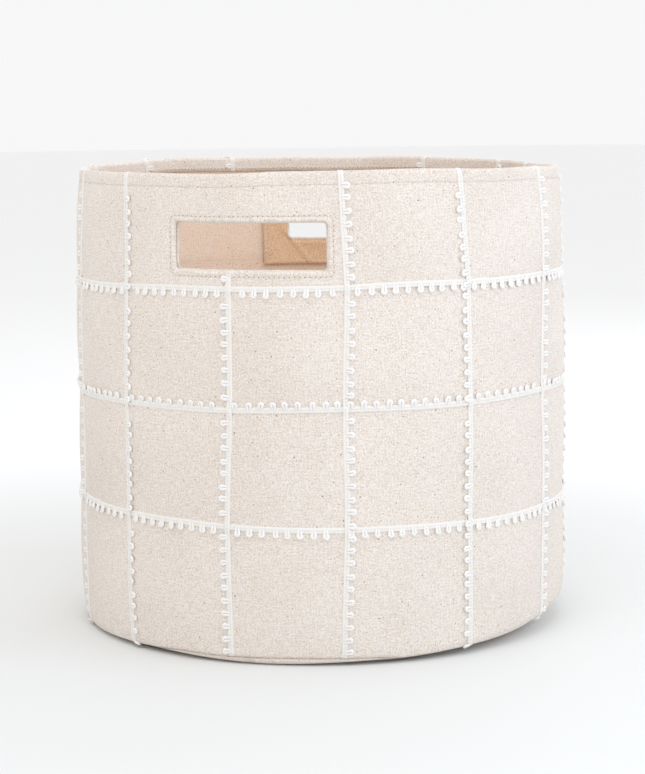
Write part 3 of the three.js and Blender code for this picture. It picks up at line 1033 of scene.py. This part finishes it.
def picot_shape():
    """One loop of gimp cord: two legs lie on the tape and open into a round head. y is away from the tape."""
    head = [math.radians(a) for a in range(-100, 101, 25)]
    x = [HEAD_HALF_WIDTH * math.sin(a) for a in head]
    y = [HEAD_OUT + HEAD_HALF_HEIGHT * math.cos(a) for a in head]
    z = [CORD_LIFT for _ in head]
    legs = [(-0.6, -0.6, 0.4), (-0.75, 0.5, 0.7), (-0.9, 1.9, CORD_LIFT)]
    line = legs + list(zip(x, y, z)) + [(-a, b, c) for a, b, c in reversed(legs)]
    thin = [0.4, 0.55, 0.75]
    radii = thin + [1.0] * len(head) + thin[::-1]
    return tube(np.array(line) * MM, [(CORD * r, CORD_FLATTENED * CORD * r) for r in radii], 8)


def tape_profile():
    """(side, lift) across the tape: two ribs with the sewing line sunk between them."""
    half = [(1.0, 0.05), (0.97, 0.5), (0.8, 0.8), (0.45, 0.86), (0.15, 0.76)]
    right = [(s * TAPE_HALF, z * MM) for s, z in half]
    left = [(-s, z) for s, z in reversed(right)]
    under = [(-0.9 * TAPE_HALF, -0.3 * MM), (0.9 * TAPE_HALF, -0.3 * MM)]
    return right + left + under


def path_point(path, distance):
    """The point at a distance along a path, with its run, side and normal."""
    lengths, *rows = path
    return [np.array([np.interp(distance, lengths, row[:, axis]) for axis in range(3)]) for row in rows]


def tape(name, node, path, closed):
    """The woven ground of a trim, swept along its path."""
    lengths, points, _, side, normal = path
    profile = tape_profile()
    wide = len(profile)
    rings = [p + s * y + n * z for p, s, n in zip(points, side, normal) for y, z in profile]
    faces = []
    for i in range(len(points) if closed else len(points) - 1):
        k = (i + 1) % len(points)
        for j in range(wide):
            m = (j + 1) % wide
            faces.append((i * wide + j, i * wide + m, k * wide + m, k * wide + j))
    if not closed:
        last = (len(points) - 1) * wide
        faces += [tuple(range(wide - 1, -1, -1)), tuple(last + j for j in range(wide))]
    uvs = np.array([(length, y) for length in lengths for y, _ in profile])
    piece = make_piece(name, np.array(rings), faces, uvs, TRIM_TAPE)
    stand_for(node)


def picots(name, path, loop_side, skips, draw):
    """The loops along one side of a tape, none of them quite alike."""
    length = path[0][-1]
    picot, loops = picot_shape(), Parts()
    count = round((length - 0.5 * PICOT_PITCH) / PICOT_PITCH)
    for i in range(count):
        distance = (i + 0.55 + draw.uniform(-0.07, 0.07)) * (length / count)
        crossed = any(abs(distance - skip) < CLEAR_OF_CROSSING for skip in skips)
        if crossed or distance > length - 2 * MM:
            continue
        point, run, across, out = path_point(path, distance)
        size, lean, tip = draw.uniform(0.92, 1.08), draw.uniform(-0.13, 0.13), draw.uniform(-0.02, 0.2)
        shape = picot[0] * [size, draw.uniform(0.94, 1.06), 1]
        shape = shape + np.outer(shape[:, 1], [lean, 0, tip]) * (shape[:, 1:2] > 0)
        loops.add(set_down(shape, point, run, across * loop_side, out), *picot[1:])
    loops.make(f"{name}_loops", TRIM_CORD)


def tape_sewing(name, path):
    """The stitches down the middle of a tape."""
    stitch, sewing = stitch_shape(1.75 * MM, 0.24 * MM), Parts()
    for distance in np.arange(1.2 * MM, path[0][-1] - MM, SEWING_PITCH):
        point, run, across, out = path_point(path, distance)
        sewing.add(set_down(stitch[0], point + 0.55 * MM * out, run, across, out), *stitch[1:])
    sewing.make(f"{name}_sewing", THREAD)


def trim(name, node, points, normals, closed, loop_side, skips, draw):
    """Tape, loops and sewing along a path. skips are distances along it where another trim is crossed."""
    along, normal, side = path_frames(points, normals, closed)
    path = (run_lengths(points), points, along, side, normal)
    tape(name, node, path, closed)
    picots(name, path, loop_side, skips, draw)
    tape_sewing(name, path)


def wobble(draw, along, size):
    """A slow wander, as a hand leaves when it guides the trim under the needle."""
    waves = [(draw.uniform(20, 45), draw.uniform(0, 6.28), draw.uniform(0.4, 1)) for _ in range(3)]
    return size * sum(weight * np.sin(often * along + phase) for often, phase, weight in waves) / 2


def upright_trim(node, azimuth):
    """A trim from the base seam up the wall and over the rim, or up to the window it stops under."""
    draw = random.Random(node)
    low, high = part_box(node)
    top = HEM_END - 0.3 * MM if high.z > HEIGHT else high.z - SEAM + 2.5 * MM
    along = stops([0.4 * MM, TO_RIM, OVER_RIM, top] if top > TO_RIM else [0.4 * MM, top], 1.5 * MM)
    at_top, at_row, at_bottom = UPRIGHT_STRAY.get(node, (0, 0, 0))
    stray = np.interp(along, [0, ROWS["upper"] - SEAM, TO_RIM], [at_bottom, at_row, at_top])
    angle = azimuth + (wobble(draw, along, 0.9 * MM) + stray) / BELLY_RADIUS
    crossings = [float(row_height(row, azimuth)) - SEAM for row in ROWS]
    over_rim = (TO_RIM + OVER_RIM) / 2
    hump = sum(bump(along - crossing, 3 * MM) for crossing in crossings)
    lift = 0.95 * MM * hump * (along < TO_RIM)
    lift = lift - 0.6 * MM * bump(along, 2 * MM) - 0.5 * MM * bump(along - over_rim, 5 * MM)
    points = on_canvas(angle, along, lift)
    skips = [*crossings, over_rim - 1.5 * MM, over_rim + 1.5 * MM]
    normals = on_canvas(angle, along, lift + MM) - points
    trim(f"picot_{node}", node, points, normals, False, UPRIGHT_LOOPS[node], skips, draw)


def row_height(row, azimuth):
    """Where a row of trim runs: nearly level."""
    front, right = ROW_TILT[row]
    wander = 0.35 * MM * np.sin(7 * azimuth + 2 * len(row))
    return ROWS[row] + front * np.cos(azimuth) + right * np.sin(azimuth) + wander


def row_trim(row):
    """A trim right round the wall."""
    draw = random.Random(row)
    angle = WALL_SEAM + stops([0, ROUND], 1.6 * MM)[:-1] / BELLY_RADIUS
    along = row_height(row, angle) - SEAM
    points = on_canvas(angle, along)
    skips = [float((azimuth - WALL_SEAM) % (2 * math.pi)) * BELLY_RADIUS for azimuth in UPRIGHTS.values()]
    normals = on_canvas(angle, along, MM) - points
    trim(f"picot_{row}_row", f"row_trim_{row}", points, normals, True, -ROW_LOOPS[row], skips, draw)


# ----------------------------------------
# Floor, light and camera

CAMERA_TURN = math.radians(16)
CAMERA_DISTANCE = 1.5507
CAMERA_HEIGHT = 0.3623
CAMERA_PITCH = math.radians(7.58)
CAMERA_ROLL = math.radians(0.70)
CAMERA_LENS = 105.1


# The floor is painted darker near the bin, as painted shade round it.
FLOOR_NEAR_SHADE, FLOOR_FAR = rgb(231, 232, 231), rgb(248, 248, 248)
FLOOR_RINGS = (0.15, 0.3, 0.45, 0.6, 0.9, 1.5, 4, 12)
FLOOR_SIDES = 96
BRIGHTENS_FROM, BRIGHTENS_TO = 0.35, 0.8


def floor():
    """A large pale floor, painted darker round the bin as painted shade, that brightens away from the bin."""
    vertices = [(0, 0, 0)]
    for radius in FLOOR_RINGS:
        angles = [2 * math.pi * i / FLOOR_SIDES for i in range(FLOOR_SIDES)]
        vertices += [(radius * math.cos(angle), radius * math.sin(angle), 0) for angle in angles]
    after = [(i + 1) % FLOOR_SIDES for i in range(FLOOR_SIDES)]
    faces = [(0, 1 + i, 1 + k) for i, k in enumerate(after)]
    for ring in range(len(FLOOR_RINGS) - 1):
        a, b = 1 + ring * FLOOR_SIDES, 1 + (ring + 1) * FLOOR_SIDES
        faces += [(a + i, b + i, b + k, a + k) for i, k in enumerate(after)]
    mesh = bpy.data.meshes.new("floor")
    mesh.from_pydata(vertices, [], faces)
    shader = Shader("floor_and_painted_shade", 0.6, 0.0)
    position = shader.node("ShaderNodeNewGeometry").outputs["Position"]
    away = shader.node("ShaderNodeVectorMath", {0: position}, operation="LENGTH").outputs["Value"]
    far = shader.smooth(away, BRIGHTENS_FROM, BRIGHTENS_TO)
    mesh.materials.append(shader.finish(shader.mix(far, FLOOR_NEAR_SHADE, FLOOR_FAR)))
    new_object("floor", mesh)


def softbox(name, turn_from_camera, distance, height, size, power, colour=(1, 1, 1)):
    """A square area light aimed at the middle of the bin. Angles run from the camera towards its right."""
    angle = CAMERA_TURN + math.radians(turn_from_camera)
    light = bpy.data.lights.new(name, "AREA")
    light.size = size
    light.energy = power
    light.color = colour
    lamp = new_object(name, light)
    lamp.location = (distance * math.sin(angle), -distance * math.cos(angle), height)
    down = math.atan2(height - HEIGHT / 2, distance)
    lamp.rotation_euler = (math.pi / 2 - down, 0, angle)


STUDIO_WHITE = (0.985, 0.985, 0.99, 1)
COOL = (0.8, 1.0, 1.28)


def lights():
    """A pale room, a cool light from the right, and soft ones behind, in front and overhead."""
    world = bpy.data.worlds.new("studio")
    world.use_nodes = True
    background = world.node_tree.nodes["Background"]
    background.inputs["Color"].default_value = STUDIO_WHITE
    background.inputs["Strength"].default_value = 0.95
    bpy.context.scene.world = world
    softbox("key_right", 66, distance=1.7, height=1.0, size=1.2, power=5.9, colour=COOL)
    softbox("window_behind", 150, distance=1.5, height=1.2, size=1.2, power=3)
    softbox("fill_front", 8, distance=2.4, height=1.5, size=1.6, power=3.4)
    softbox("overhead", -10, distance=1.0, height=1.9, size=1.2, power=6.5)


def camera():
    """The photo's point of view, from the fit of the bin's outline."""
    data = bpy.data.cameras.new("camera")
    data.lens = CAMERA_LENS
    eye = new_object("camera", data)
    to_right, to_front = math.sin(CAMERA_TURN), math.cos(CAMERA_TURN)
    eye.location = (CAMERA_DISTANCE * to_right, -CAMERA_DISTANCE * to_front, CAMERA_HEIGHT)
    eye.rotation_mode = "QUATERNION"
    aim = Quaternion((0, 0, 1), CAMERA_TURN) @ Quaternion((1, 0, 0), math.pi / 2 - CAMERA_PITCH)
    eye.rotation_quaternion = aim @ Quaternion((0, 0, 1), -CAMERA_ROLL)
    bpy.context.scene.camera = eye
    bpy.context.scene.view_settings.view_transform = "Standard"


camera()
lights()
floor()
canvas_wall()
felt_interlining()
cotton_lining()
canvas_base()
floor_lining()
fibre_board()
for side in WINDOWS:
    facing(side)
hem_stitches()
for side in WINDOWS:
    window_stitches(side)
    facing_stitches(side)
bobbin_stitches()
for node, azimuth in UPRIGHTS.items():
    upright_trim(node, azimuth)
for row in ROWS:
    row_trim(row)
